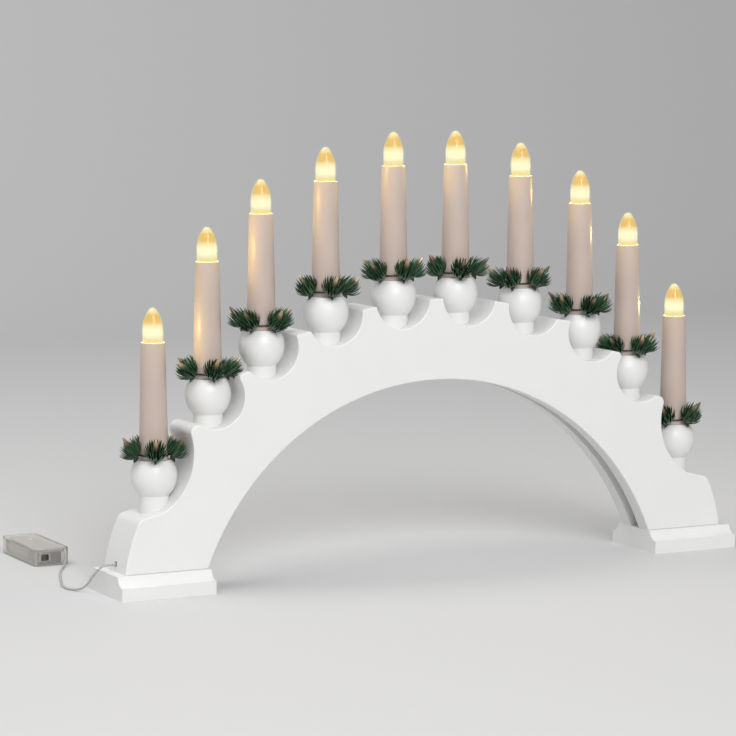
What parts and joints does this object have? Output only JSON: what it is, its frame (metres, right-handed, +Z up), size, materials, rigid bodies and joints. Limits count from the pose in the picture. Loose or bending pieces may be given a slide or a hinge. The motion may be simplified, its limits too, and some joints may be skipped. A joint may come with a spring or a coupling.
{
  "type": "candle arch",
  "caption": "Wooden candle arch on two plinths: cups stepped along its back hold electric candles with pine wreaths, lit through a cord from a clear battery box.",
  "frame": {"origin": "middle of the base, on the surface that the plinths stand on", "axes": "+X along the arch to the right, +Y to the back, +Z up"},
  "size_m": [0.5171, 0.2264, 0.3178],
  "materials": {
    "white_paint": "satin white paint",
    "steel": "zinc plated",
    "candle_plastic": "ivory, satin",
    "holder_plastic": "moulded",
    "bulb_glass": "clear, lit",
    "pine_green": "needle strips",
    "lead_plastic": "clear jacket",
    "clear_plastic": "frosted",
    "cell_jacket": "plain sleeve",
    "switch_plastic": "moulded"
  },
  "bodies": {
    "arch": {"arch_board": "white_paint", "plinth_left": "white_paint", "plinth_right": "white_paint", "plinth_screws": "steel", "cup_01": "white_paint", "cup_02": "white_paint", "cup_03": "white_paint", "cup_04": "white_paint", "cup_05": "white_paint", "cup_06": "white_paint", "cup_07": "white_paint", "cup_08": "white_paint", "cup_09": "white_paint", "cup_10": "white_paint", "candle_tube_01": "candle_plastic", "candle_tube_02": "candle_plastic", "candle_tube_03": "candle_plastic", "candle_tube_04": "candle_plastic", "candle_tube_05": "candle_plastic", "candle_tube_06": "candle_plastic", "candle_tube_07": "candle_plastic", "candle_tube_08": "candle_plastic", "candle_tube_09": "candle_plastic", "candle_tube_10": "candle_plastic", "lampholders": "holder_plastic", "wiring_loom": "lead_plastic", "power_cord": "lead_plastic", "battery_case": "clear_plastic", "battery_cells": "cell_jacket", "contact_plates": "steel", "contact_springs": "steel", "switch_body": "switch_plastic", "battery_leads": "lead_plastic"},
    "bulb_01": {"bulb_01": "bulb_glass"},
    "bulb_02": {"bulb_02": "bulb_glass"},
    "bulb_03": {"bulb_03": "bulb_glass"},
    "bulb_04": {"bulb_04": "bulb_glass"},
    "bulb_05": {"bulb_05": "bulb_glass"},
    "bulb_06": {"bulb_06": "bulb_glass"},
    "bulb_07": {"bulb_07": "bulb_glass"},
    "bulb_08": {"bulb_08": "bulb_glass"},
    "bulb_09": {"bulb_09": "bulb_glass"},
    "bulb_10": {"bulb_10": "bulb_glass"},
    "wreath_01": {"wreath_01": "pine_green"},
    "wreath_02": {"wreath_02": "pine_green"},
    "wreath_03": {"wreath_03": "pine_green"},
    "wreath_04": {"wreath_04": "pine_green"},
    "wreath_05": {"wreath_05": "pine_green"},
    "wreath_06": {"wreath_06": "pine_green"},
    "wreath_07": {"wreath_07": "pine_green"},
    "wreath_08": {"wreath_08": "pine_green"},
    "wreath_09": {"wreath_09": "pine_green"},
    "wreath_10": {"wreath_10": "pine_green"},
    "battery_lid": {"battery_lid": "clear_plastic", "lid_screw": "steel"},
    "switch_slider": {"switch_slider": "switch_plastic"}
  },
  "joints": [
    {"name": "bulb_01_turn", "type": "hinge", "parent": "arch", "child": "bulb_01", "pos_m": [-0.213, 0, 0.1751], "axis": [0, 0, 1], "range_deg": [0, 360]},
    {"name": "bulb_02_turn", "type": "hinge", "parent": "arch", "child": "bulb_02", "pos_m": [-0.1716, 0, 0.2299], "axis": [0, 0, 1], "range_deg": [0, 360]},
    {"name": "bulb_03_turn", "type": "hinge", "parent": "arch", "child": "bulb_03", "pos_m": [-0.13, 0, 0.2622], "axis": [0, 0, 1], "range_deg": [0, 360]},
    {"name": "bulb_04_turn", "type": "hinge", "parent": "arch", "child": "bulb_04", "pos_m": [-0.0794, 0, 0.2837], "axis": [0, 0, 1], "range_deg": [0, 360]},
    {"name": "bulb_05_turn", "type": "hinge", "parent": "arch", "child": "bulb_05", "pos_m": [-0.0253, 0, 0.2934], "axis": [0, 0, 1], "range_deg": [0, 360]},
    {"name": "bulb_06_turn", "type": "hinge", "parent": "arch", "child": "bulb_06", "pos_m": [0.0253, 0, 0.2934], "axis": [0, 0, 1], "range_deg": [0, 360]},
    {"name": "bulb_07_turn", "type": "hinge", "parent": "arch", "child": "bulb_07", "pos_m": [0.0794, 0, 0.2837], "axis": [0, 0, 1], "range_deg": [0, 360]},
    {"name": "bulb_08_turn", "type": "hinge", "parent": "arch", "child": "bulb_08", "pos_m": [0.13, 0, 0.2622], "axis": [0, 0, 1], "range_deg": [0, 360]},
    {"name": "bulb_09_turn", "type": "hinge", "parent": "arch", "child": "bulb_09", "pos_m": [0.1716, 0, 0.2299], "axis": [0, 0, 1], "range_deg": [0, 360]},
    {"name": "bulb_10_turn", "type": "hinge", "parent": "arch", "child": "bulb_10", "pos_m": [0.213, 0, 0.1751], "axis": [0, 0, 1], "range_deg": [0, 360]},
    {"name": "wreath_01_lift", "type": "slide", "parent": "arch", "child": "wreath_01", "axis": [0, 0, 1], "range_m": [0, 0.115]},
    {"name": "wreath_02_lift", "type": "slide", "parent": "arch", "child": "wreath_02", "axis": [0, 0, 1], "range_m": [0, 0.115]},
    {"name": "wreath_03_lift", "type": "slide", "parent": "arch", "child": "wreath_03", "axis": [0, 0, 1], "range_m": [0, 0.115]},
    {"name": "wreath_04_lift", "type": "slide", "parent": "arch", "child": "wreath_04", "axis": [0, 0, 1], "range_m": [0, 0.115]},
    {"name": "wreath_05_lift", "type": "slide", "parent": "arch", "child": "wreath_05", "axis": [0, 0, 1], "range_m": [0, 0.115]},
    {"name": "wreath_06_lift", "type": "slide", "parent": "arch", "child": "wreath_06", "axis": [0, 0, 1], "range_m": [0, 0.115]},
    {"name": "wreath_07_lift", "type": "slide", "parent": "arch", "child": "wreath_07", "axis": [0, 0, 1], "range_m": [0, 0.115]},
    {"name": "wreath_08_lift", "type": "slide", "parent": "arch", "child": "wreath_08", "axis": [0, 0, 1], "range_m": [0, 0.115]},
    {"name": "wreath_09_lift", "type": "slide", "parent": "arch", "child": "wreath_09", "axis": [0, 0, 1], "range_m": [0, 0.115]},
    {"name": "wreath_10_lift", "type": "slide", "parent": "arch", "child": "wreath_10", "axis": [0, 0, 1], "range_m": [0, 0.115]},
    {"name": "lid_lift", "type": "slide", "parent": "arch", "child": "battery_lid", "axis": [0, 0, 1], "range_m": [0, 0.03]},
    {"name": "switch_slide", "type": "slide", "parent": "arch", "child": "switch_slider", "axis": [1, 0, 0], "range_m": [0, 0.003]}
  ]
}
